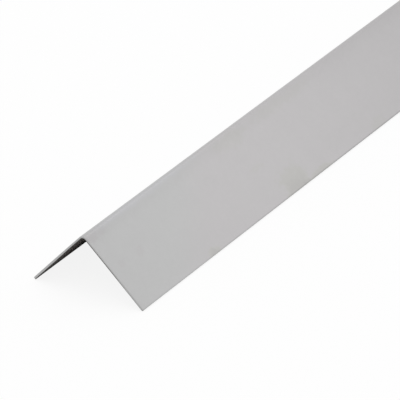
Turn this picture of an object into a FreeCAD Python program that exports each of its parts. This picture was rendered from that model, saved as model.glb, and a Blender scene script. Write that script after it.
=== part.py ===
import FreeCAD, Part
import os
from math import cos, degrees, pi, radians, sin

import Sketcher

# Folded metal angle section: one length of sheet bent once along its middle, sold as stock.
# Millimetres. +Z up, +Y along the stock, +X across it. The angle stands on its two toes with
# the bend uppermost, like a roof. The origin is on the floor, midway between the toes and
# midway along the length.

NODE = "angle_section"

# Driving sizes
SIZES = {
    "leg_width": 40.0,         # outside of a leg, from its toe to the sharp outer corner
    "sheet_thickness": 1.2,    # gauge of the sheet
    "inner_bend_radius": 1.5,  # inside of the bend
    "included_angle": 90.0,    # between the legs, in degrees
    "stock_length": 1000.0,    # one length as it is sold
    "corner_radius": 0.5,      # corners of each leg, seen square to the leg
    "edge_radius": 0.2,        # deburring all round the outline, on both skins
}

# The sketcher counts the points of a line or arc up from one, and the sketch's own axes
# down from minus one. The x axis starts at the origin
START, END, CENTRE = range(1, 4)
X_AXIS, Z_AXIS = range(-1, -3, -1)

# Two faces that turn by more degrees than this meet at a sharp edge, not at a tangent
SHARP_TURN = 45.0


def make_sheet(doc):
    """Write the driving sizes into a sheet, a row each, and name every value."""
    sheet = doc.addObject("Spreadsheet::Sheet", "sizes")
    for row, (name, value) in enumerate(SIZES.items(), start=1):
        sheet.set(f"A{row}", name)
        sheet.set(f"B{row}", str(value))
        sheet.setAlias(f"B{row}", name)
    doc.recompute()
    return sheet


def origin_plane(body, role):
    """The plane of the body's own origin that has this role."""
    return next(plane for plane in body.Origin.OriginFeatures if plane.Role == role)


def mirrored(point):
    """The same place on the left leg."""
    return FreeCAD.Vector(-point.x, point.y, 0)


def section_outline(sheet):
    """Lines and arcs of the section by name, as x across and y up, in order round it.

    The sharp corners where the skins of the two legs would meet lie on the z axis, and so
    does the one centre that both bend arcs share.
    """
    half_angle = radians(sheet.included_angle / 2)
    down_leg = FreeCAD.Vector(sin(half_angle), -cos(half_angle), 0)
    outward = FreeCAD.Vector(cos(half_angle), sin(half_angle), 0)
    outer_bend_radius = sheet.inner_bend_radius + sheet.sheet_thickness

    corner_height = sheet.leg_width * cos(half_angle) + sheet.sheet_thickness * sin(half_angle)
    outer_corner = FreeCAD.Vector(0, corner_height, 0)
    bend_centre = outer_corner - FreeCAD.Vector(0, outer_bend_radius / sin(half_angle), 0)
    outer_toe = outer_corner + down_leg * sheet.leg_width
    inner_toe = outer_toe - outward * sheet.sheet_thickness
    outer_tangent = bend_centre + outward * outer_bend_radius
    inner_tangent = bend_centre + outward * sheet.inner_bend_radius

    def line(start, end):
        return Part.LineSegment(start, end)

    def bend_arc(radius):
        circle = Part.Circle(bend_centre, FreeCAD.Vector(0, 0, 1), radius)
        return Part.ArcOfCircle(circle, half_angle, pi - half_angle)

    return {
        "outer_right": line(outer_tangent, outer_toe),
        "toe_right": line(outer_toe, inner_toe),
        "inner_right": line(inner_toe, inner_tangent),
        "inner_bend": bend_arc(sheet.inner_bend_radius),
        "inner_left": line(mirrored(inner_tangent), mirrored(inner_toe)),
        "toe_left": line(mirrored(inner_toe), mirrored(outer_toe)),
        "outer_left": line(mirrored(outer_toe), mirrored(outer_tangent)),
        "outer_bend": bend_arc(outer_bend_radius),
        "outer_corner": Part.Point(outer_corner),
    }


def sketch_section(body, sheet):
    """Sketch the section square to the stock and tie each of its sizes to the sheet."""
    sketch = body.newObject("Sketcher::SketchObject", "section")
    sketch.AttachmentSupport = [(origin_plane(body, "XZ_Plane"), "")]
    sketch.MapMode = "FlatFace"
    body.Document.recompute()

    curve = {}
    for name, geometry in section_outline(sheet).items():
        curve[name] = sketch.addGeometry(geometry, name == "outer_corner")

    def fix(kind, *where):
        return sketch.addConstraint(Sketcher.Constraint(kind, *where))

    def size(name, formula, kind, *where):
        sketch.renameConstraint(fix(kind, *where), name)
        sketch.setExpression(f"Constraints.{name}", formula)

    # The straight skins run smoothly into the two arcs of the bend
    fix("Tangent", curve["outer_right"], START, curve["outer_bend"], START)
    fix("Tangent", curve["outer_bend"], END, curve["outer_left"], END)
    fix("Tangent", curve["inner_right"], END, curve["inner_bend"], START)
    fix("Tangent", curve["inner_bend"], END, curve["inner_left"], START)

    # Square toes
    fix("Coincident", curve["outer_right"], END, curve["toe_right"], START)
    fix("Coincident", curve["toe_right"], END, curve["inner_right"], START)
    fix("Coincident", curve["inner_left"], END, curve["toe_left"], START)
    fix("Coincident", curve["toe_left"], END, curve["outer_left"], START)
    fix("Perpendicular", curve["outer_right"], curve["toe_right"])
    fix("Perpendicular", curve["outer_left"], curve["toe_left"])
    fix("Equal", curve["toe_right"], curve["toe_left"])

    # One bend centre on the z axis, skins parallel, and both legs alike
    fix("Coincident", curve["outer_bend"], CENTRE, curve["inner_bend"], CENTRE)
    fix("PointOnObject", curve["outer_bend"], CENTRE, Z_AXIS)
    fix("Parallel", curve["outer_right"], curve["inner_right"])
    fix("Symmetric", curve["outer_left"], START, curve["outer_right"], END, Z_AXIS)

    # The sharp corner that the leg width is measured from
    fix("PointOnObject", curve["outer_corner"], START, curve["outer_right"])
    fix("PointOnObject", curve["outer_corner"], START, Z_AXIS)

    size("leg_width", "sizes.leg_width",
         "Distance", curve["outer_corner"], START, curve["outer_right"], END, sheet.leg_width)
    size("sheet_thickness", "sizes.sheet_thickness",
         "Distance", curve["toe_right"], sheet.sheet_thickness)
    size("inner_bend_radius", "sizes.inner_bend_radius",
         "Radius", curve["inner_bend"], sheet.inner_bend_radius)
    size("included_angle", "sizes.included_angle",
         "Angle", curve["outer_left"], END, curve["outer_right"], START,
         radians(sheet.included_angle))

    # The toes' sharp inner corners lie under the floor by what their deburring takes off,
    # so the finished part rests on it
    half_angle = radians(sheet.included_angle / 2)
    toe_drop = sheet.edge_radius * (cos(half_angle) + sin(half_angle) - 1)
    size("toe_drop",
         "sizes.edge_radius * (cos(sizes.included_angle / 2) + sin(sizes.included_angle / 2) - 1)",
         "DistanceY", curve["inner_right"], START, X_AXIS, START, toe_drop)

    body.Document.recompute()
    return sketch


def pad_stock(body, sketch):
    """Run the section along the stock, half of the length to each side of the origin."""
    pad = body.newObject("PartDesign::Pad", "stock")
    pad.Profile = sketch
    pad.SideType = "Symmetric"
    pad.setExpression("Length", "sizes.stock_length")
    body.Document.recompute()
    return pad


def middle_of(edge):
    """The point halfway along an edge."""
    return edge.valueAt((edge.FirstParameter + edge.LastParameter) / 2)


def is_sharp(shape, edge):
    """True where the two faces beside an edge turn a corner there."""
    middle = middle_of(edge)
    faces = shape.ancestorsOfType(edge, Part.Face)
    normals = [face.normalAt(*face.Surface.parameter(middle)) for face in faces]
    return degrees(normals[0].getAngle(normals[1])) > SHARP_TURN


def leg_corner_edges(shape, sheet):
    """Names of the four short edges through the sheet, at the ends of the two toes.

    Their middles lie further out than the toes' inner edges, and nothing else that crosses
    the stock reaches as far.
    """
    half_angle = radians(sheet.included_angle / 2)
    toe_reach = sheet.leg_width * sin(half_angle) - sheet.sheet_thickness * cos(half_angle)
    half_length = sheet.stock_length / 2
    names = []
    for number, edge in enumerate(shape.Edges, start=1):
        middle = middle_of(edge)
        at_an_end = abs(middle.y) > half_length / 2
        if at_an_end and abs(middle.x) > toe_reach:
            names.append(f"Edge{number}")
    return names


def rim_edges(shape):
    """Names of every sharp edge: the whole outline of the sheet, on both skins."""
    return [f"Edge{number}" for number, edge in enumerate(shape.Edges, start=1)
            if is_sharp(shape, edge)]


def round_edges(body, name, base, edges, radius):
    """Round some edges of the last feature by a radius that the sheet names."""
    fillet = body.newObject("PartDesign::Fillet", name)
    fillet.Base = (base, edges)
    fillet.setExpression("Radius", f"sizes.{radius}")
    body.Document.recompute()
    return fillet


def make_angle_section(doc, sheet):
    """The whole piece: section, length, rounded leg corners, deburred outline."""
    body = doc.addObject("PartDesign::Body", NODE)
    body.Label = NODE
    sketch = sketch_section(body, sheet)
    stock = pad_stock(body, sketch)
    corners = round_edges(body, "leg_corners", stock,
                          leg_corner_edges(stock.Shape, sheet), "corner_radius")
    rim = round_edges(body, "deburred_rim", corners, rim_edges(corners.Shape), "edge_radius")
    body.Tip = rim
    body.Placement = FreeCAD.Placement()
    doc.recompute()
    return body


def check(doc, body):
    """Stop if anything in the document failed or the solid isn't sound."""
    for item in doc.Objects:
        if "Invalid" in item.State or "Error" in item.State:
            raise RuntimeError(f"{item.Name} failed: {item.State}")
    shape = body.Shape
    if shape.isNull() or not shape.isValid() or len(shape.Solids) != 1:
        raise RuntimeError(f"{body.Label} isn't one valid solid")


def report(body):
    """Print what was made, to compare with the sizes."""
    box = body.Shape.optimalBoundingBox(False, False)
    print(f"{body.Label}: {box.XLength:.3f} x {box.YLength:.3f} x {box.ZLength:.3f} mm, "
          f"lowest at {box.ZMin:.3f}, volume {body.Shape.Volume:.1f} mm3")


doc = FreeCAD.newDocument("angle_stock")
sizes = make_sheet(doc)
angle_section = make_angle_section(doc, sizes)
check(doc, angle_section)
report(angle_section)

os.makedirs("parts", exist_ok=True)
angle_section.Shape.exportStep(os.path.join("parts", f"{NODE}.step"))
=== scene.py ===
# %% [markdown]
# # A folded metal angle
#
# The object is one length of thin sheet metal, bent once along its middle into two equal legs
# at a right angle. It stands on its two toes like a little roof. Shops sell it as stock, to
# cover a corner or to make brackets from.
#
# A thing this plain has nothing to hide behind. What makes it look real is the section (how
# thin the sheet is, how tight the bend), the small rounding of every cut edge, and a satin
# finish that is nearly even but not quite. The script takes those one at a time.
#
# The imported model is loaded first. It is the fixed frame: it says how long and how wide the
# piece is, and everything below is worked out from it, in metres.

from math import cos, pi, radians, sin

import bpy
import numpy as np
from mathutils import Matrix, Vector


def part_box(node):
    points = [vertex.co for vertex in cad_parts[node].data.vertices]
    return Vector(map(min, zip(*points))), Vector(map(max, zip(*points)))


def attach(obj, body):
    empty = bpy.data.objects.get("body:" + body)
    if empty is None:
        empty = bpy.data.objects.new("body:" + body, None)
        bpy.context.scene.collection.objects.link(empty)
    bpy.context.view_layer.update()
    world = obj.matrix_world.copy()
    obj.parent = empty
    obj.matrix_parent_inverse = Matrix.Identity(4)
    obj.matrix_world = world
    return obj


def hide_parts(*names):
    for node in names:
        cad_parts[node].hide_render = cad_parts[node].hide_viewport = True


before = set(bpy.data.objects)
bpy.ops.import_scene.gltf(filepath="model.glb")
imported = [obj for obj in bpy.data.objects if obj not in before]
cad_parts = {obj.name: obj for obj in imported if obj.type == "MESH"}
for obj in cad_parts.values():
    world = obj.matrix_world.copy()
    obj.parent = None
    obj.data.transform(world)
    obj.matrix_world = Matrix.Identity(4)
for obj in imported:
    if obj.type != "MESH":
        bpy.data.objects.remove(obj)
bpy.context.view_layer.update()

# %% [markdown]
# ## The sizes of the sheet
#
# Four sizes can't be read from a box: the gauge of the sheet, the radius inside the bend, the
# rounding of the leg's corners and the deburring of its edges. They are written here as the
# real object's sizes. The length and the leg width then follow from the frame's box.
#
# A leg's width is measured as a fitter measures it, from the toe to the sharp corner where
# the two outer faces would meet. Half the box is how far a toe reaches out. Deburring took a
# little off there, which is put back, and the leg's slope turns that reach into its width.

# %% Sizes of the sheet
MM = 0.001
GAUGE = 1.2 * MM
INNER_BEND = 1.5 * MM
CORNER_ROUND = 0.5 * MM
EDGE_EASE = 0.2 * MM

SLOPE = radians(45)
node_low, node_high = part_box("angle_section")
STOCK_LENGTH = node_high.y - node_low.y
toe_reach = (node_high.x - node_low.x) / 2
ease_on_slope = EDGE_EASE * (cos(SLOPE) + sin(SLOPE) - 1)
LEG_WIDTH = (toe_reach + ease_on_slope) / sin(SLOPE)

OUTER_BEND = INNER_BEND + GAUGE
MIDDLE_BEND = INNER_BEND + GAUGE / 2
print(f"leg {LEG_WIDTH / MM:.2f} mm, length {STOCK_LENGTH / MM:.0f} mm")

# %% [markdown]
# ## A blank first, then a fold
#
# The real piece begins as a flat strip, cut to size with its edges deburred, and is then
# pressed over a die. The mesh is made in the same order. A flat strip is easy to describe:
# `s` runs across it, `y` along it, and `n` is the height above the middle of the sheet.
# Folding is then one formula that carries every point of the strip to its place.
#
# A bevelled box bent by a modifier could give a similar form, but here the wall keeps its
# exact gauge round the bend, the corners are true arcs, and `s` and `y` are left over as a
# map of the sheet that the finish can follow round the fold.
#
# The width of the blank is the length of the middle of the sheet, unrolled: two flats and a
# quarter circle.

# %% Size of the blank
flat_width = LEG_WIDTH - OUTER_BEND
half_bend = MIDDLE_BEND * SLOPE
HALF_BLANK = flat_width + half_bend
HALF_LENGTH = STOCK_LENGTH / 2
print(f"blank {2 * HALF_BLANK / MM:.2f} x {STOCK_LENGTH / MM:.0f} mm")

# %% [markdown]
# ## Where the grid lines go
#
# A grid over the blank needs close lines only where its shape turns quickly: across the bend,
# and in the last half millimetre before each edge, where the corners are round. The flats
# take few.


# %% Spacing of the grid lines
def spaced(*stops):
    """Places along a line: (start, steps) pairs and a last stop, evenly spaced between stops."""
    runs = []
    for (start, steps), (end, _) in zip(stops[:-1], stops[1:]):
        runs.append(np.linspace(start, end, steps, endpoint=False))
    return np.concatenate(runs + [[stops[-1][0]]])


def mirrored(half):
    """Places from zero outwards, repeated on the other side of zero."""
    return np.concatenate([-half[:0:-1], half])


STEPS_IN_CORNER = 6
STEPS_PER_FLAT = 24
STEPS_PER_HALF_BEND = 8
STEPS_PER_HALF_LENGTH = 150

skin_half_width = HALF_BLANK - EDGE_EASE
skin_half_length = HALF_LENGTH - EDGE_EASE
corner_start_s = HALF_BLANK - CORNER_ROUND
corner_start_y = HALF_LENGTH - CORNER_ROUND

lines_across = mirrored(spaced((0, STEPS_PER_HALF_BEND), (half_bend, STEPS_PER_FLAT),
                               (corner_start_s, STEPS_IN_CORNER), (skin_half_width, 0)))
lines_along = mirrored(spaced((0, STEPS_PER_HALF_LENGTH),
                              (corner_start_y, STEPS_IN_CORNER), (skin_half_length, 0)))
print(len(lines_across), "lines across,", len(lines_along), "lines along")

# %% [markdown]
# ## Rounding the corners of a square grid
#
# The four corners of the blank are rounded, but the grid is square. Each corner square is
# pressed into a quarter disc. With `a` and `b` running from 0 to 1 over the square, the
# point goes to `a * sqrt(1 - b*b/2)`, `b * sqrt(1 - a*a/2)`. The two inner sides stay where
# they are, so the rest of the grid doesn't notice, and the two outer sides land on the arc.


# %% The flat skin
def flat_skin(across, along):
    """Grid of (s, y) over one skin, its corner squares pressed into quarter discs."""
    s, y = np.meshgrid(across, along, indexing="ij")
    radius = CORNER_ROUND - EDGE_EASE
    a = np.clip((np.abs(s) - corner_start_s) / radius, 0, None)
    b = np.clip((np.abs(y) - corner_start_y) / radius, 0, None)
    in_corner = (a > 0) & (b > 0)
    round_s = corner_start_s + radius * a * np.sqrt(1 - b**2 / 2)
    round_y = corner_start_y + radius * b * np.sqrt(1 - a**2 / 2)
    s = np.where(in_corner, np.sign(s) * round_s, s)
    y = np.where(in_corner, np.sign(y) * round_y, y)
    return s, y


skin_s, skin_y = flat_skin(lines_across, lines_along)
print("skin grid", skin_s.shape)

# %% [markdown]
# ## The rim between the two skins
#
# The rim is a profile carried round the outline of the blank. The outline is the border of
# the skin grid, read once round. At each of its points the way out is known: square to a
# straight side, or straight away from the middle of a corner's arc.
#
# Going out by the same amount everywhere turns each corner arc into a larger arc with the
# same centre, so the deburring has one radius all the way round.


# %% The border of the skin, and the way out of it
def border_of(grid):
    """The border values of a grid, once round, with the first repeated at the end."""
    return np.concatenate([grid[:-1, 0], grid[-1, :-1], grid[:0:-1, -1], grid[0, ::-1]])


def way_out(s, y):
    """Unit vectors (s, y) out of the blank, straight away from the box inside the arcs."""
    out_s = s - np.clip(s, -corner_start_s, corner_start_s)
    out_y = y - np.clip(y, -corner_start_y, corner_start_y)
    size = np.hypot(out_s, out_y)
    return out_s / size, out_y / size


border_s, border_y = border_of(skin_s), border_of(skin_y)
out_s, out_y = way_out(border_s, border_y)
print(len(border_s) - 1, "points round the border")

# %% [markdown]
# The profile leaves the outer skin in a quarter circle, drops down the cut face and comes
# back under in another. Its turn is the lean of the surface from straight up: it grows over
# the first quarter circle, stays at a right angle down the face, and grows again below.

# %% The rim's profile
STEPS_ROUND = 4
STEPS_DOWN = 4


def rim_profile():
    """Turn, outset and height of the rim's profile, from the upper skin to the lower.

    The outset is the deburring radius times the sine of the turn. On the upper round the
    height is the straight part's top plus the radius times the cosine, and the lower round
    is the same upside down.
    """
    ease = np.linspace(0, pi / 2, STEPS_ROUND + 1)
    turn = np.concatenate([ease, np.full(STEPS_DOWN - 1, pi / 2), pi / 2 + ease])
    outset = EDGE_EASE * np.sin(turn)
    straight = GAUGE / 2 - EDGE_EASE
    down_the_face = np.linspace(straight, -straight, STEPS_DOWN + 1)
    height = np.concatenate([straight + EDGE_EASE * np.cos(ease), down_the_face[1:-1],
                             -straight - EDGE_EASE * np.sin(ease)])
    return turn, outset, height


rim_turn, rim_outset, rim_height = rim_profile()
rim_s = border_s[:, None] + out_s[:, None] * rim_outset
rim_y = border_y[:, None] + out_y[:, None] * rim_outset
rim_n = np.broadcast_to(rim_height, rim_s.shape)
print("rim grid", rim_s.shape)

# %% [markdown]
# ## Not dead flat
#
# No pressed leg is dead flat. Each one here is crowned by a few hundredths of a millimetre
# and waves slowly along its length. The eye doesn't see the shape, only the way a reflection
# drifts over it. The wave dies out at the toes, so the piece still stands on its floor.

# %% How far the sheet stands off the true leg
CROWN = 0.05 * MM
WAVE = 0.04 * MM
WAVE_LENGTHS = (0.231, 0.137)
LAG_OF_LEFT_LEG = radians(120)


def off_flat(s, y):
    """How far the sheet stands off the true leg: none at bend and toe, most halfway.

    Halfway down a leg it is the crown plus two long waves along the stock, on the left leg
    a third of a turn out of step with the right.
    """
    down_leg = np.clip((np.abs(s) - half_bend) / (HALF_BLANK - half_bend), 0, 1)
    lag = np.where(s < 0, LAG_OF_LEFT_LEG, 0)
    waves = sum(np.sin(2 * pi * y / length + lag) for length in WAVE_LENGTHS)
    return 4 * down_leg * (1 - down_leg) * (CROWN + WAVE / 2 * waves)


print(f"stands off by up to {off_flat(skin_s, skin_y).max() / MM:.3f} mm")

# %% [markdown]
# ## Folding the blank
#
# Round the bend a point turns about the bend's centre, by its distance from the fold divided
# by the radius at the middle of the sheet. Past the bend it goes straight on, in whatever
# direction the bend left it. Points above the middle of the sheet turn on a larger radius and
# points below on a smaller one, as the metal does.
#
# The sharp outer corner stands at a height that puts the deburred toes on the floor.

# %% The fold
corner_height = LEG_WIDTH * cos(SLOPE) + GAUGE * sin(SLOPE) - ease_on_slope
bend_centre_height = corner_height - OUTER_BEND / sin(SLOPE)


def turn_of(s):
    """The angle that the sheet has turned through at s, held to the slope of the legs."""
    return np.clip(s, -half_bend, half_bend) / MIDDLE_BEND


def fold(s, y, n):
    """Carries points of the flat blank to the folded piece.

    A point lies at the middle radius plus n from the bend's centre, in the direction that
    the sheet has turned to, and then goes on along the leg by whatever part of s the bend
    didn't use.
    """
    turn = turn_of(s)
    beyond = s - turn * MIDDLE_BEND
    radius = MIDDLE_BEND + n + off_flat(s, y)
    x = radius * np.sin(turn) + beyond * np.cos(turn)
    z = bend_centre_height + radius * np.cos(turn) - beyond * np.sin(turn)
    return np.stack([x, y, z], axis=-1)


outer_skin = fold(skin_s, skin_y, GAUGE / 2)
inner_skin = fold(skin_s, skin_y, -GAUGE / 2)
rim = fold(rim_s, rim_y, rim_n)
print(f"top at {outer_skin[..., 2].max() / MM:.3f} mm, toes at {rim[..., 2].min() / MM:.3f} mm")

# %% [markdown]
# ## Which way each point faces
#
# Blender can guess smooth normals from the faces round a point, but at the deburring the
# guess leans the edge of the flat and the light bends there. The true direction is known,
# so it is worked out too: straight up off the skins, and leaning out by the profile's turn
# round the rim.


# %% Directions
def fold_direction(s, across, along, up):
    """Turns directions on the flat blank with the sheet, by its angle at s."""
    turn = turn_of(s)
    x = across * np.cos(turn) + up * np.sin(turn)
    z = up * np.cos(turn) - across * np.sin(turn)
    return np.stack([x, along, z], axis=-1)


up_off_skin = np.ones(skin_s.shape)
level = np.zeros(skin_s.shape)
outer_faces_to = fold_direction(skin_s, level, level, up_off_skin)
lean = np.sin(rim_turn)
rim_faces_to = fold_direction(rim_s, out_s[:, None] * lean, out_y[:, None] * lean,
                              np.broadcast_to(np.cos(rim_turn), rim_s.shape))
print("directions for", outer_faces_to[..., 0].size * 2 + rim_faces_to[..., 0].size, "points")

# %% [markdown]
# ## One closed mesh from three grids
#
# The outer skin, the inner skin and the rim share their border points, so the mesh has no
# seam to weld. Each point gets one number. A face is then four of those numbers, and whole
# arrays of faces come from shifting a grid of numbers by one step each way.


# %% Points and faces
def quads(numbers):
    """Faces between neighbours of a grid of point numbers, as rows of four."""
    corners = (numbers[:-1, :-1], numbers[1:, :-1], numbers[1:, 1:], numbers[:-1, 1:])
    return np.stack([c.ravel() for c in corners], axis=1)


def places_in(grid):
    """The number of each place in a grid, counted row by row."""
    return np.arange(grid.size).reshape(grid.shape)


outer_numbers = places_in(skin_s)
inner_numbers = outer_numbers + skin_s.size
rim_numbers = places_in(rim_s[:-1, 1:-1]) + 2 * skin_s.size
rim_numbers = np.vstack([rim_numbers, rim_numbers[:1]])
around = np.column_stack([border_of(outer_numbers), rim_numbers, border_of(inner_numbers)])

points = np.concatenate([outer_skin.reshape(-1, 3), inner_skin.reshape(-1, 3),
                         rim[:-1, 1:-1].reshape(-1, 3)])
faces_to = np.concatenate([outer_faces_to.reshape(-1, 3), -outer_faces_to.reshape(-1, 3),
                           rim_faces_to[:-1, 1:-1].reshape(-1, 3)])
skin_corners = quads(outer_numbers)
rim_corners = quads(places_in(rim_s))[:, ::-1]
faces = np.concatenate([skin_corners, quads(inner_numbers)[:, ::-1],
                        around.ravel()[rim_corners]])
print(len(points), "points,", len(faces), "faces")

# %% [markdown]
# ## Two finishes on one mesh
#
# The skins and the round beside the outer skin are the satin face of the sheet. The rest of
# the rim is the raw cut. Each face carries the number of its finish, 0 or 1, in the order in
# which the materials will be added.

# %% Which faces are skin and which are cut
SKIN, CUT = 0, 1

rim_strips = np.repeat([SKIN, CUT], [STEPS_ROUND, STEPS_DOWN + STEPS_ROUND])
rim_finishes = np.tile(rim_strips, len(border_s) - 1)
finishes = np.concatenate([np.full(2 * len(skin_corners), SKIN), rim_finishes])
print((finishes == CUT).sum(), "faces of raw cut")

# %% [markdown]
# ## A map of the sheet
#
# The finish has to follow the sheet round its bend, so the sheet's own coordinates, `s` and
# `y` in metres, go along as a UV map. The underside is shifted well away, or a mark on one
# side would show at the same place on the other. The cut has a map of its own kind: the
# distance round the outline, and the height through the gauge.

# %% Map values for each corner of each face
MAP_NAME = "sheet"
UNDERSIDE_SHIFT = 3.0

skin_map = np.stack([skin_s, skin_y], axis=-1).reshape(-1, 2)[skin_corners]
under_map = skin_map[:, ::-1] + (UNDERSIDE_SHIFT, 0)

steps = np.hypot(np.diff(border_s), np.diff(border_y))
round_outline = np.concatenate([[0], np.cumsum(steps)])
round_outline = np.broadcast_to(round_outline[:, None], rim_s.shape)
cut_map = np.stack([round_outline, rim_n], axis=-1).reshape(-1, 2)[rim_corners]
rim_map = np.stack([rim_s, rim_y], axis=-1).reshape(-1, 2)[rim_corners]
rim_map = np.where((rim_finishes == CUT)[:, None, None], cut_map, rim_map)
sheet_map = np.concatenate([skin_map, under_map, rim_map])
print(f"outline {round_outline.max():.3f} m round")

# %% [markdown]
# ## Into Blender
#
# The arrays go into the mesh as they are. Every face has four corners, so the loops are the
# face rows laid end to end.


# %% Build the mesh
def mesh_from_quads(name, points, faces, faces_to, sheet_map, finishes):
    """A mesh from arrays: points, rows of four corners, directions, a map and finishes."""
    mesh = bpy.data.meshes.new(name)
    mesh.vertices.add(len(points))
    mesh.vertices.foreach_set("co", points.astype(np.float32).ravel())
    mesh.loops.add(faces.size)
    mesh.loops.foreach_set("vertex_index", faces.astype(np.int32).ravel())
    mesh.polygons.add(len(faces))
    mesh.polygons.foreach_set("loop_start", np.arange(0, faces.size, 4, dtype=np.int32))
    mesh.polygons.foreach_set("material_index", finishes.astype(np.int32))
    mesh.update(calc_edges=True)
    layer = mesh.uv_layers.new(name=MAP_NAME)
    layer.uv.foreach_set("vector", sheet_map.astype(np.float32).ravel())
    mesh.shade_smooth()
    mesh.normals_split_custom_set_from_vertices(faces_to.tolist())
    return mesh


angle_mesh = mesh_from_quads("folded_angle", points, faces, faces_to, sheet_map, finishes)
folded_angle = bpy.data.objects.new("folded_angle", angle_mesh)
bpy.context.scene.collection.objects.link(folded_angle)
print(folded_angle.name, "needed mending:", angle_mesh.validate())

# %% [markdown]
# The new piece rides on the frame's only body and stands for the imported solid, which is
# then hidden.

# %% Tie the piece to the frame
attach(folded_angle, "root")
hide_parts("angle_section")
print(folded_angle.name, "stands for angle_section")

# %% [markdown]
# ## The satin face of the sheet
#
# Cold-rolled sheet leaves the mill pale, even and satin grey. It is bare metal, so the shader
# is fully metallic: what is seen is a reflection, multiplied by the grey of the metal.
# Roughness spreads the reflections until the face looks nearly matt.
#
# A picture of sheet metal would show its pixels close up and repeat along a metre of stock.
# The finish is worked out at every point instead, from the map of the sheet: the distances
# across it and along it.


# %% The satin material and its map
def new_material(name):
    """A metallic material, with its node tree and its shader."""
    material = bpy.data.materials.new(name)
    material.use_nodes = True
    shader = material.node_tree.nodes["Principled BSDF"]
    shader.inputs["Metallic"].default_value = 1.0
    return material, material.node_tree, shader


def map_coordinates(tree):
    """The two coordinates of the sheet's map, and both as one vector."""
    node = tree.nodes.new("ShaderNodeUVMap")
    node.uv_map = MAP_NAME
    parts = tree.nodes.new("ShaderNodeSeparateXYZ")
    tree.links.new(node.outputs[0], parts.inputs[0])
    return parts.outputs["X"], parts.outputs["Y"], node.outputs[0]


satin, tree, satin_shader = new_material("satin_sheet")
across, along, sheet_point = map_coordinates(tree)
angle_mesh.materials.append(satin)
print(satin.name, "reads the map named", MAP_NAME)

# %% [markdown]
# ## Grain and mottle
#
# Even is not the same as flat. The rolls leave a fine grain along the sheet, and the tone is
# mottled over a few millimetres. Both are noise about zero. Dividing the coordinates by the
# size of a blotch stretches it: a quarter of a millimetre across the grain, and many
# millimetres along it.


# %% Grain and mottle
def link_math(tree, operation, *values, clamp=False):
    """A Math node over its inputs, each a socket or a number; returns its output."""
    node = tree.nodes.new("ShaderNodeMath")
    node.operation = operation
    node.use_clamp = clamp
    for socket, value in zip(node.inputs, values):
        if isinstance(value, (int, float)):
            socket.default_value = value
        else:
            tree.links.new(value, socket)
    return node.outputs[0]


def grain(tree, vector, size, detail=2.0, keep=0.5, shift=0.0):
    """Noise about zero, its blotches `size` metres (across, along) wide.

    Each of the `detail` finer layers has `keep` times the strength of the one before. The
    shift moves to another slice of the noise, so that two patterns don't look alike.
    """
    stretch = tree.nodes.new("ShaderNodeMapping")
    stretch.inputs["Scale"].default_value = (1 / size[0], 1 / size[1], 1)
    stretch.inputs["Location"].default_value = (0, 0, shift)
    tree.links.new(vector, stretch.inputs["Vector"])
    noise = tree.nodes.new("ShaderNodeTexNoise")
    noise.inputs["Scale"].default_value = 1.0
    noise.inputs["Detail"].default_value = detail
    noise.inputs["Roughness"].default_value = keep
    tree.links.new(stretch.outputs[0], noise.inputs["Vector"])
    return link_math(tree, "SUBTRACT", noise.outputs["Fac"], 0.5)


GRAIN_SIZE = (0.25 * MM, 18 * MM)
MOTTLE_SIZE = (12 * MM, 15 * MM)
MOTTLE_SHIFT = 2.0

rolled = grain(tree, sheet_point, GRAIN_SIZE, detail=3.0)
mottle = grain(tree, sheet_point, MOTTLE_SIZE, detail=3.0, keep=1.0, shift=MOTTLE_SHIFT)
print("grain and mottle in", len(tree.nodes), "nodes")

# %% [markdown]
# ## Slow drift and painted sheen
#
# The tone drifts slowly along the sheet. It is partly painted sheen: the drift is lightest
# some ten centimetres from the near end, close to where the sheen softbox shows in the right
# leg. Two cosines of unlike length never quite repeat over a metre. Each is given by its
# length and the place of one crest, measured from the near end, in metres.


# %% Slow drift and painted sheen along the length
def slow_wave(tree, from_end, length, crest):
    """The cosine of a whole turn for each `length` metres from the crest."""
    past_crest = link_math(tree, "SUBTRACT", from_end, crest)
    return link_math(tree, "COSINE", link_math(tree, "MULTIPLY", past_crest, 2 * pi / length))


from_end = link_math(tree, "ADD", along, HALF_LENGTH)
# Partly painted sheen: both crests lie near where the sheen softbox shows in the right leg.
short_drift_and_sheen = slow_wave(tree, from_end, length=0.33, crest=0.105)
long_drift_and_sheen = slow_wave(tree, from_end, length=0.47, crest=0.060)
print("near end at", -HALF_LENGTH, "m on the map")

# %% [markdown]
# ## Darker bands by the bend and the toe
#
# Some bands of the skin are a touch darker: over the bend, and down the lower half of the leg,
# from a few centimetres in. The mottle is mixed into the distance from the fold for these two,
# so that their borders don't run dead straight. Right at the toe a thin dark line runs along
# the edge, and it grows stronger over the first hand's width.
#
# Each of these begins and ends by a smooth step between two distances.


# %% Bend, lower leg and toe
def smooth_step(tree, value, start, end):
    """0 below start, 1 above end and smooth between; start above end turns it round."""
    node = tree.nodes.new("ShaderNodeMapRange")
    node.interpolation_type = "SMOOTHSTEP"
    tree.links.new(value, node.inputs["Value"])
    node.inputs["From Min"].default_value = min(start, end)
    node.inputs["From Max"].default_value = max(start, end)
    node.inputs["To Min"].default_value = 0.0 if start < end else 1.0
    node.inputs["To Max"].default_value = 1.0 if start < end else 0.0
    return node.outputs[0]


def weighted(tree, *pairs):
    """One number: 1 plus the sum of value times share over (value, share) pairs."""
    total = 1.0
    for value, share in pairs:
        total = link_math(tree, "MULTIPLY_ADD", value, share, total)
    return total


STRAY = 4 * MM
BEND_FADE = (7.5 * MM, 2 * MM)
LOWER_HALF_FADE = (HALF_BLANK / 2, HALF_BLANK - 4 * MM)
FURTHER_IN_FADE = (20 * MM, 80 * MM)
TOE_LINE_FADE = (HALF_BLANK - 0.65 * MM, HALF_BLANK - 0.3 * MM)
STRONGER_FADE = (20 * MM, 150 * MM)
STRONGER_BY = 1.4

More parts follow.
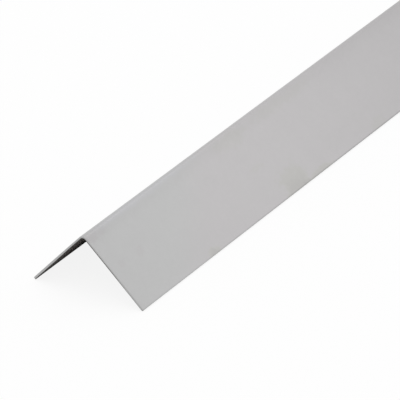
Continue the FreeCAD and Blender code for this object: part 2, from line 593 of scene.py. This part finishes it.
on_underside = link_math(tree, "GREATER_THAN", across, UNDERSIDE_SHIFT / 2)
brought_back = link_math(tree, "MULTIPLY_ADD", on_underside, -UNDERSIDE_SHIFT, across)
true_distance = link_math(tree, "ABSOLUTE", brought_back)
from_fold = link_math(tree, "MULTIPLY_ADD", mottle, STRAY, true_distance)

near_bend = smooth_step(tree, from_fold, *BEND_FADE)
lower_half = smooth_step(tree, from_fold, *LOWER_HALF_FADE)
further_in = smooth_step(tree, from_end, *FURTHER_IN_FADE)
lower_leg = link_math(tree, "MULTIPLY", lower_half, further_in)
toe_line = smooth_step(tree, true_distance, *TOE_LINE_FADE)
stronger = smooth_step(tree, from_end, *STRONGER_FADE)
along_toe = link_math(tree, "MULTIPLY", toe_line, weighted(tree, (stronger, STRONGER_BY)))
print(f"a leg is {HALF_BLANK / MM:.1f} mm from fold to toe on the map")

# %% [markdown]
# ## Handling marks and a painted highlight
#
# The sheet has been handled. Faint olive smudges lie where fingers and other lengths of
# stock have touched it, most of them near the bend and the toe. A few scuffs are only
# darker. Along one stretch of the bend a light, cool stripe is painted on as a highlight.
#
# Each mark is a soft oval on the map of the sheet, given by its place (from the near end and
# from the fold), its size (along and across) and its strength, all in millimetres but the
# last. The mottle frays its border, so that none looks drawn. The marks are on the leg that
# faces the camera, and the rest of the metre is only mottled.


# %% Smudges, scuffs and a painted highlight
FRAY = 2.5
MARK_FADE = (1.3, 0.4)


def oval(tree, point, fray, place, size):
    """1 in the middle of an oval of the sheet, fading to 0 a little past its border."""
    centred = tree.nodes.new("ShaderNodeMapping")
    centred.vector_type = "TEXTURE"
    from_end, from_fold = place
    centred.inputs["Location"].default_value = (from_fold * MM, from_end * MM - HALF_LENGTH, 0)
    length, width = size
    centred.inputs["Scale"].default_value = (width / 2 * MM, length / 2 * MM, 1)
    tree.links.new(point, centred.inputs["Vector"])
    distance = tree.nodes.new("ShaderNodeVectorMath")
    distance.operation = "LENGTH"
    tree.links.new(centred.outputs[0], distance.inputs[0])
    frayed = link_math(tree, "MULTIPLY_ADD", fray, FRAY, distance.outputs["Value"])
    return smooth_step(tree, frayed, *MARK_FADE)


def all_marks(tree, point, fray, marks):
    """The sum of some marks, each an oval times its strength."""
    total = 0.0
    for place, size, strength in marks.values():
        mark = oval(tree, point, fray, place, size)
        total = link_math(tree, "MULTIPLY_ADD", mark, strength, total)
    return total


SMUDGES = {
    "toe": ((117, 35), (19, 15), 0.4),
    "toe, darkest": ((117, 38.5), (16, 9), 0.5),
    "smear along toe": ((133, 38.5), (22, 4), 0.6),
    "spot on toe": ((53, 38), (8, 5), 0.9),
    "second toe": ((181, 38), (12, 8), 0.2),
    "beside bend": ((101, 4), (20, 8), 0.2),
    "smear along bend": ((141, 3.5), (50, 6), 0.15),
    "middle of leg": ((104, 20.5), (9, 3), 0.15),
}
SCUFFS = {
    "end of bend": ((1, 1.9), (20, 5), 0.8),
    "first by end": ((7, 18.5), (5, 4), 0.4),
    "second by end": ((19, 18.5), (6, 5), 0.4),
}
# Painted highlight: one light stripe along the bend, near the near end.
BEND_HIGHLIGHTS = {"along bend": ((40, 0.8), (78, 3.5), 1.0)}

smudged = all_marks(tree, sheet_point, mottle, SMUDGES)
scuffed = all_marks(tree, sheet_point, mottle, SCUFFS)
bend_highlight = all_marks(tree, sheet_point, mottle, BEND_HIGHLIGHTS)
print(len(SMUDGES), "smudges,", len(SCUFFS), "scuffs and", len(BEND_HIGHLIGHTS), "rub")

# %% [markdown]
# ## The tone
#
# Everything so far is a pattern from 0 to 1, or about zero. The tone adds them up around 1,
# each times the share by which it lightens or darkens the metal. The shares are small: a
# difference of two parts in a hundred is already plain to see on an even face.


# %% Add the tone up
GRAIN_SHARE = 0.03
MOTTLE_SHARE = 0.1
SHORT_DRIFT_AND_SHEEN_SHARE = 0.024
LONG_DRIFT_AND_SHEEN_SHARE = 0.017
BEND_SHADE = 0.026
LOWER_SHADE = 0.012
TOE_SHADE = 0.085
SMUDGE_SHADE = 0.055
SCUFF_SHADE = 0.055
# Painted highlight along the bend:
BEND_HIGHLIGHT_SHARE = 0.03

tone = weighted(
    tree, (rolled, GRAIN_SHARE), (mottle, MOTTLE_SHARE),
    (short_drift_and_sheen, SHORT_DRIFT_AND_SHEEN_SHARE), (long_drift_and_sheen, LONG_DRIFT_AND_SHEEN_SHARE),
    (near_bend, -BEND_SHADE), (lower_leg, -LOWER_SHADE), (along_toe, -TOE_SHADE),
    (smudged, -SMUDGE_SHADE), (scuffed, -SCUFF_SHADE), (bend_highlight, BEND_HIGHLIGHT_SHARE))
print("tone in", len(tree.nodes), "nodes")

# %% [markdown]
# ## The greys
#
# No two greys on the sheet are quite the same. The near end is neutral, and the metal turns a
# little rosy a few centimetres in, and at the scuffs. Smudges are olive, and fully so from a
# third of full strength up. The painted highlight along the bend is cool. The inside of the
# fold is painted a warm dark grey that stands in for the shade under the roof, darkest along
# the toes. One mix after another lays each over the last, and the tone scales the result.


# %% Colour of the satin metal
def mixed_colour(tree, factor, first, second):
    """Goes from the first colour to the second as the factor goes from 0 to 1."""
    node = tree.nodes.new("ShaderNodeMix")
    node.data_type = "RGBA"
    tree.links.new(factor, node.inputs["Factor"])
    for socket, colour in ((node.inputs["A"], first), (node.inputs["B"], second)):
        if isinstance(colour, tuple):
            socket.default_value = (*colour, 1)
        else:
            tree.links.new(colour, socket)
    return node.outputs["Result"]


def scaled_colour(tree, colour, amount):
    """A colour socket times a number socket."""
    node = tree.nodes.new("ShaderNodeVectorMath")
    node.operation = "SCALE"
    tree.links.new(colour, node.inputs[0])
    tree.links.new(amount, node.inputs["Scale"])
    return node.outputs[0]


END_GREY = (0.479, 0.479, 0.479)
SHEET_GREY = (0.485, 0.474, 0.479)
OLIVE_GREY = (0.485, 0.479, 0.468)
# Cool grey of the painted highlight along the bend:
BEND_HIGHLIGHT_GREY = (0.477, 0.477, 0.486)
# Painted shade: the inside of the fold is darkened like the shade under the roof, most along the
# toes.
INSIDE_SHADE_GREY = (0.325, 0.291, 0.276)
INSIDE_TOE_SHADE_GREY = (0.15, 0.14, 0.135)
NEUTRAL_FADE = (55 * MM, 95 * MM)
INSIDE_SHADE_FADE = (HALF_BLANK / 2, HALF_BLANK)
FULL_OLIVE_AT = 1 / 3

from_end_and_fold = link_math(tree, "ADD", from_end, from_fold)
clear_of_end = smooth_step(tree, from_end_and_fold, *NEUTRAL_FADE)
rosy = link_math(tree, "ADD", clear_of_end, scuffed, clamp=True)
stained = link_math(tree, "MULTIPLY", smudged, 1 / FULL_OLIVE_AT, clamp=True)
down_inside_shade = smooth_step(tree, from_fold, *INSIDE_SHADE_FADE)

grey = mixed_colour(tree, rosy, END_GREY, SHEET_GREY)
grey = mixed_colour(tree, stained, grey, OLIVE_GREY)
grey = mixed_colour(tree, bend_highlight, grey, BEND_HIGHLIGHT_GREY)
inside = mixed_colour(tree, down_inside_shade, INSIDE_SHADE_GREY, INSIDE_TOE_SHADE_GREY)
grey = mixed_colour(tree, on_underside, grey, inside)
tree.links.new(scaled_colour(tree, grey, tone), satin_shader.inputs["Base Color"])
print("sheet grey", SHEET_GREY)

# %% [markdown]
# ## Roughness and relief
#
# The same grain and mottle stir the roughness, and a smudge is a little duller than clean
# metal. A shallow bump gives the grain something to catch the light with close up. It is at
# most two thousandths of a millimetre deep, as rolling marks are.


# %% Roughness and relief
def relief(tree, shader, height, strength, depth):
    """Bumps a shader's surface by a height pattern, `depth` metres deep."""
    bump = tree.nodes.new("ShaderNodeBump")
    bump.inputs["Strength"].default_value = strength
    bump.inputs["Distance"].default_value = depth
    tree.links.new(height, bump.inputs["Height"])
    tree.links.new(bump.outputs[0], shader.inputs["Normal"])


SATIN_ROUGHNESS = 0.36
GRAIN_STIR = 0.15
MOTTLE_STIR = 0.25
SMUDGE_DULL = 0.15
GRAIN_DEPTH = 0.002 * MM
GRAIN_STRENGTH = 0.3

stirred = weighted(tree, (rolled, GRAIN_STIR), (mottle, MOTTLE_STIR), (smudged, SMUDGE_DULL))
satin_roughness = link_math(tree, "MULTIPLY", stirred, SATIN_ROUGHNESS)
tree.links.new(satin_roughness, satin_shader.inputs["Roughness"])
relief(tree, satin_shader, rolled, GRAIN_STRENGTH, GRAIN_DEPTH)
print(satin.name, "has", len(tree.nodes), "nodes")

# %% [markdown]
# ## The raw cut
#
# A shear cuts the first part of the gauge cleanly and burnishes it, and then the rest tears.
# So a cut edge has two tones, light next to the outer skin and dark, rough and a little warm
# next to the inner one, with fine streaks across it where the blade dragged. The dark tone is
# partly real tear and partly painted shade: it is near black, darker than torn metal alone.
#
# The height through the gauge is one coordinate of the cut's map, so the line between the
# tones is one smooth step. Most of the gauge is burnished at the toes. Towards the bend the
# tear, and with it the painted shade, begins higher. It also begins a little higher on the
# leg where the cut starts.
#
# The map's other coordinate starts at the near end's left toe and passes the bend half a
# blank later. The far end comes half an outline after that, so both ends are alike once whole
# half outlines are taken off. Noise makes the line wander, as the tear does.

# %% Where the cut tears
TEAR_AT_BEND = -0.14 * MM
TEAR_AT_TOE = -0.34 * MM
EARLY_TEAR = 0.07 * MM
TEAR_WANDER = 0.5 * MM
TEAR_BLEND = 0.08 * MM
STREAK_SIZE = (0.12 * MM, 1.5 * MM)
WANDER_SIZE = (35 * MM, 4 * MM)
WANDER_SHIFT = 9.0

cut_metal, tree, cut_shader = new_material("sheared_edge")
round_cut, through, cut_point = map_coordinates(tree)

streaks = grain(tree, cut_point, STREAK_SIZE, detail=4.0)
wander = grain(tree, cut_point, WANDER_SIZE, shift=WANDER_SHIFT)
along_end = link_math(tree, "MODULO", round_cut, round_outline.max() / 2)
from_bend = link_math(tree, "ABSOLUTE", link_math(tree, "SUBTRACT", along_end, HALF_BLANK))
to_toe = smooth_step(tree, from_bend, 0.0, HALF_BLANK)
tear = link_math(tree, "MULTIPLY_ADD", to_toe, TEAR_AT_TOE - TEAR_AT_BEND, TEAR_AT_BEND)
first_leg = smooth_step(tree, along_end, HALF_BLANK, 0.0)
tear = link_math(tree, "MULTIPLY_ADD", first_leg, EARLY_TEAR, tear)
wandering = link_math(tree, "MULTIPLY_ADD", wander, TEAR_WANDER, through)
above_tear = link_math(tree, "SUBTRACT", wandering, tear)
burnish = smooth_step(tree, above_tear, -TEAR_BLEND, TEAR_BLEND)
print(f"tears {-TEAR_AT_TOE / MM:.2f} mm under the middle of the sheet at a toe")

# %% [markdown]
# The two tones then follow from that one number, and so do the two roughnesses. The streaks
# stir the grey and give the cut a relief of a hundredth of a millimetre.

# %% Cut metal
BURNISHED_GREY = (0.42, 0.42, 0.42)
# Painted shade in the torn grey: near black, as the cut looks beside the inner skin.
TORN_AND_SHADE_GREY = (0.07, 0.065, 0.06)
BURNISHED_ROUGHNESS = 0.38
TORN_ROUGHNESS = 0.6
STREAK_SHARE = 0.35
STREAK_DEPTH = 0.01 * MM
STREAK_STRENGTH = 0.5

cut_grey = mixed_colour(tree, burnish, TORN_AND_SHADE_GREY, BURNISHED_GREY)
streaked = scaled_colour(tree, cut_grey, weighted(tree, (streaks, STREAK_SHARE)))
tree.links.new(streaked, cut_shader.inputs["Base Color"])
smoother = BURNISHED_ROUGHNESS - TORN_ROUGHNESS
cut_roughness = link_math(tree, "MULTIPLY_ADD", burnish, smoother, TORN_ROUGHNESS)
tree.links.new(cut_roughness, cut_shader.inputs["Roughness"])
relief(tree, cut_shader, streaks, STREAK_STRENGTH, STREAK_DEPTH)
angle_mesh.materials.append(cut_metal)
print(cut_metal.name, "has", len(tree.nodes), "nodes")

# %% [markdown]
# ## The floor
#
# The piece stands on a pure white ground. The floor is white paint, lit like everything else.
# Part of what the camera sees of it is plain white of strength 1, mixed in by the Light Path
# node, so the ground is white and the shadow stays, only softer.
#
# Metal shows its surroundings, so mirrored rays have to see the same white floor. Only
# under the roof they don't, because there the sheet keeps the studio's light out.


# %% Floor
def seen_rays(tree, where=1.0):
    """1 for camera rays, and for mirrored and transmitted rays where `where` is 1."""
    ray = tree.nodes.new("ShaderNodeLightPath")
    bounced = link_math(tree, "ADD", ray.outputs["Is Glossy Ray"],
                        ray.outputs["Is Transmission Ray"])
    return link_math(tree, "MULTIPLY_ADD", bounced, where, ray.outputs["Is Camera Ray"],
                     clamp=True)


FLOOR_HALF = 30.0
floor_corners = [(-FLOOR_HALF, -FLOOR_HALF, 0), (FLOOR_HALF, -FLOOR_HALF, 0),
                 (FLOOR_HALF, FLOOR_HALF, 0), (-FLOOR_HALF, FLOOR_HALF, 0)]
floor_mesh = bpy.data.meshes.new("floor")
floor_mesh.from_pydata(floor_corners, [], [(0, 1, 2, 3)])
floor = bpy.data.objects.new("floor", floor_mesh)
bpy.context.scene.collection.objects.link(floor)
print("floor", 2 * FLOOR_HALF, "m across")

# %% [markdown]
# The paint and the plain white are two shaders, and a Mix Shader sets how much of each a ray
# sees. A point is clear of the roof where it lies past the toes or past an end.


# %% Floor paint
def past(tree, coordinate, limit):
    """How far a coordinate lies past a limit, on either side of zero."""
    from_zero = link_math(tree, "ABSOLUTE", coordinate)
    return link_math(tree, "SUBTRACT", from_zero, limit)


FLOOR_WHITE = 0.9
GLOW = 0.88

floor_paint = bpy.data.materials.new("floor_paint")
floor_paint.use_nodes = True
tree = floor_paint.node_tree
paint = tree.nodes["Principled BSDF"]
paint.inputs["Base Color"].default_value = (FLOOR_WHITE, FLOOR_WHITE, FLOOR_WHITE, 1)
paint.inputs["Roughness"].default_value = 1.0
paint.inputs["Specular IOR Level"].default_value = 0.0
white = tree.nodes.new("ShaderNodeEmission")

place = tree.nodes.new("ShaderNodeSeparateXYZ")
tree.links.new(tree.nodes.new("ShaderNodeTexCoord").outputs["Object"], place.inputs[0])
past_toe = past(tree, place.outputs["X"], toe_reach)
past_end = past(tree, place.outputs["Y"], HALF_LENGTH)
past_edge = link_math(tree, "MAXIMUM", past_toe, past_end)
clear_of_roof = link_math(tree, "GREATER_THAN", past_edge, 0.0)

ground = tree.nodes.new("ShaderNodeMixShader")
tree.links.new(link_math(tree, "MULTIPLY", seen_rays(tree, clear_of_roof), GLOW),
               ground.inputs["Fac"])
tree.links.new(paint.outputs[0], ground.inputs[1])
tree.links.new(white.outputs[0], ground.inputs[2])
tree.links.new(ground.outputs[0], tree.nodes["Material Output"].inputs["Surface"])
floor_mesh.materials.append(floor_paint)
print(floor_paint.name, "shows", GLOW, "plain white")

# %% [markdown]
# ## The room
#
# A photographer would stand the piece in a white tent. Here the world is the tent. The light
# that falls on things grows from little at the horizon to full overhead, as under a lit
# ceiling, and the camera and the metal see it as plain white. A picture of a real studio
# could do the same, but it would tint the metal with whatever stood in that room.

# %% World
HORIZON_LIGHT = 0.1
MORE_OVERHEAD = 1.25
WHITE = (1, 1, 1, 1)

world = bpy.data.worlds.new("white_tent")
bpy.context.scene.world = world
world.use_nodes = True
tree = world.node_tree
direction = tree.nodes.new("ShaderNodeSeparateXYZ")
tree.links.new(tree.nodes.new("ShaderNodeTexCoord").outputs["Generated"], direction.inputs[0])
height_in_sky = link_math(tree, "MAXIMUM", direction.outputs["Z"], 0.0)
lamp_sky = tree.nodes["Background"]
lamp_sky.inputs["Color"].default_value = WHITE
sky_light = link_math(tree, "MULTIPLY_ADD", height_in_sky, MORE_OVERHEAD, HORIZON_LIGHT)
tree.links.new(sky_light, lamp_sky.inputs["Strength"])
backdrop = tree.nodes.new("ShaderNodeBackground")
backdrop.inputs["Color"].default_value = WHITE
backdrop.inputs["Strength"].default_value = 1.0

choice = tree.nodes.new("ShaderNodeMixShader")
tree.links.new(seen_rays(tree), choice.inputs["Fac"])
tree.links.new(lamp_sky.outputs[0], choice.inputs[1])
tree.links.new(backdrop.outputs[0], choice.inputs[2])
tree.links.new(choice.outputs[0], tree.nodes["World Output"].inputs["Surface"])
print("sky from", HORIZON_LIGHT, "at the horizon to", HORIZON_LIGHT + MORE_OVERHEAD, "overhead")

# %% [markdown]
# ## The camera
#
# The photograph looks down on the near end from the right, through a long lens, with the
# stock running off the top right corner. A camera is easiest to set by the way it looks: how
# far round it stands, how high, and how far it leans. From those come its three axes, which
# are the columns of its matrix. The values were found by laying the ridge, the toe line and
# the near end over those of the photograph until they agreed.

# %% Camera
CAMERA_AZIMUTH = radians(36.780)
CAMERA_ELEVATION = radians(28.770)
CAMERA_ROLL = radians(-4.287)
CAMERA_DISTANCE = 1.698
CAMERA_AIM = Vector((0.03628, -0.46663, 0.03817))
SENSOR = 36.0
LENS = 372.75
FAR_ENOUGH = 100.0

forward = Vector((-sin(CAMERA_AZIMUTH) * cos(CAMERA_ELEVATION),
                  cos(CAMERA_AZIMUTH) * cos(CAMERA_ELEVATION), -sin(CAMERA_ELEVATION)))
level_right = Vector((cos(CAMERA_AZIMUTH), sin(CAMERA_AZIMUTH), 0))
level_up = level_right.cross(forward)
right = level_right * cos(CAMERA_ROLL) + level_up * sin(CAMERA_ROLL)
up = level_up * cos(CAMERA_ROLL) - level_right * sin(CAMERA_ROLL)

lens = bpy.data.cameras.new("camera")
lens.lens = LENS
lens.sensor_width = SENSOR
lens.clip_end = FAR_ENOUGH
camera = bpy.data.objects.new("camera", lens)
bpy.context.scene.collection.objects.link(camera)
axes = Matrix((right, up, -forward)).transposed().to_4x4()
camera_place = CAMERA_AIM - forward * CAMERA_DISTANCE
camera.matrix_world = Matrix.Translation(camera_place) @ axes
bpy.context.scene.camera = camera
bpy.context.scene.view_settings.view_transform = "Standard"
print("camera at", tuple(round(v, 3) for v in camera_place))

# %% [markdown]
# ## Softboxes
#
# The white room alone would give every face the same grey, and the roof would read as flat.
# Three large dim softboxes make the difference between one face and the next: one to the
# left, one overhead, and one where the camera sees its faint sheen in the right leg. The
# last is found by mirroring the line of sight in the leg.


# %% Softboxes
def softbox(name, place, aim, size, power):
    """A rectangular lamp at a place, turned to face a point, that the camera doesn't see."""
    light = bpy.data.lights.new(name, "AREA")
    light.shape = "RECTANGLE"
    light.size, light.size_y = size
    light.energy = power
    lamp = bpy.data.objects.new(name, light)
    bpy.context.scene.collection.objects.link(lamp)
    turned = (aim - place).to_track_quat("-Z", "Y").to_matrix().to_4x4()
    lamp.matrix_world = Matrix.Translation(place) @ turned
    lamp.visible_camera = False
    return lamp


SHEEN_FROM_END = 0.115
SHEEN_DISTANCE = 1.4
SHEEN_SIZE = (0.6, 0.6)
SHEEN_POWER = 0.15
LEFT_PLACE = Vector((-1.4, -0.2, 0.8))
LEFT_SIZE = (1.4, 0.9)
TOP_PLACE = Vector((0, 0, 1.6))
TOP_SIZE = (1.0, 1.8)
ROOM_POWER = 2.0

leg_faces = Vector((sin(SLOPE), 0, cos(SLOPE)))
sheen_point = Vector((toe_reach / 2, SHEEN_FROM_END - HALF_LENGTH, corner_height / 2))
sight = (sheen_point - camera_place).normalized()
mirrored_sight = sight.reflect(leg_faces)
middle = Vector((0, 0, 0))

sheen_place = sheen_point + mirrored_sight * SHEEN_DISTANCE
softbox("sheen_softbox", sheen_place, sheen_point, SHEEN_SIZE, SHEEN_POWER)
softbox("left_softbox", LEFT_PLACE, middle, LEFT_SIZE, ROOM_POWER)
softbox("top_softbox", TOP_PLACE, middle, TOP_SIZE, ROOM_POWER)
print("sheen from", tuple(round(v, 2) for v in mirrored_sight))
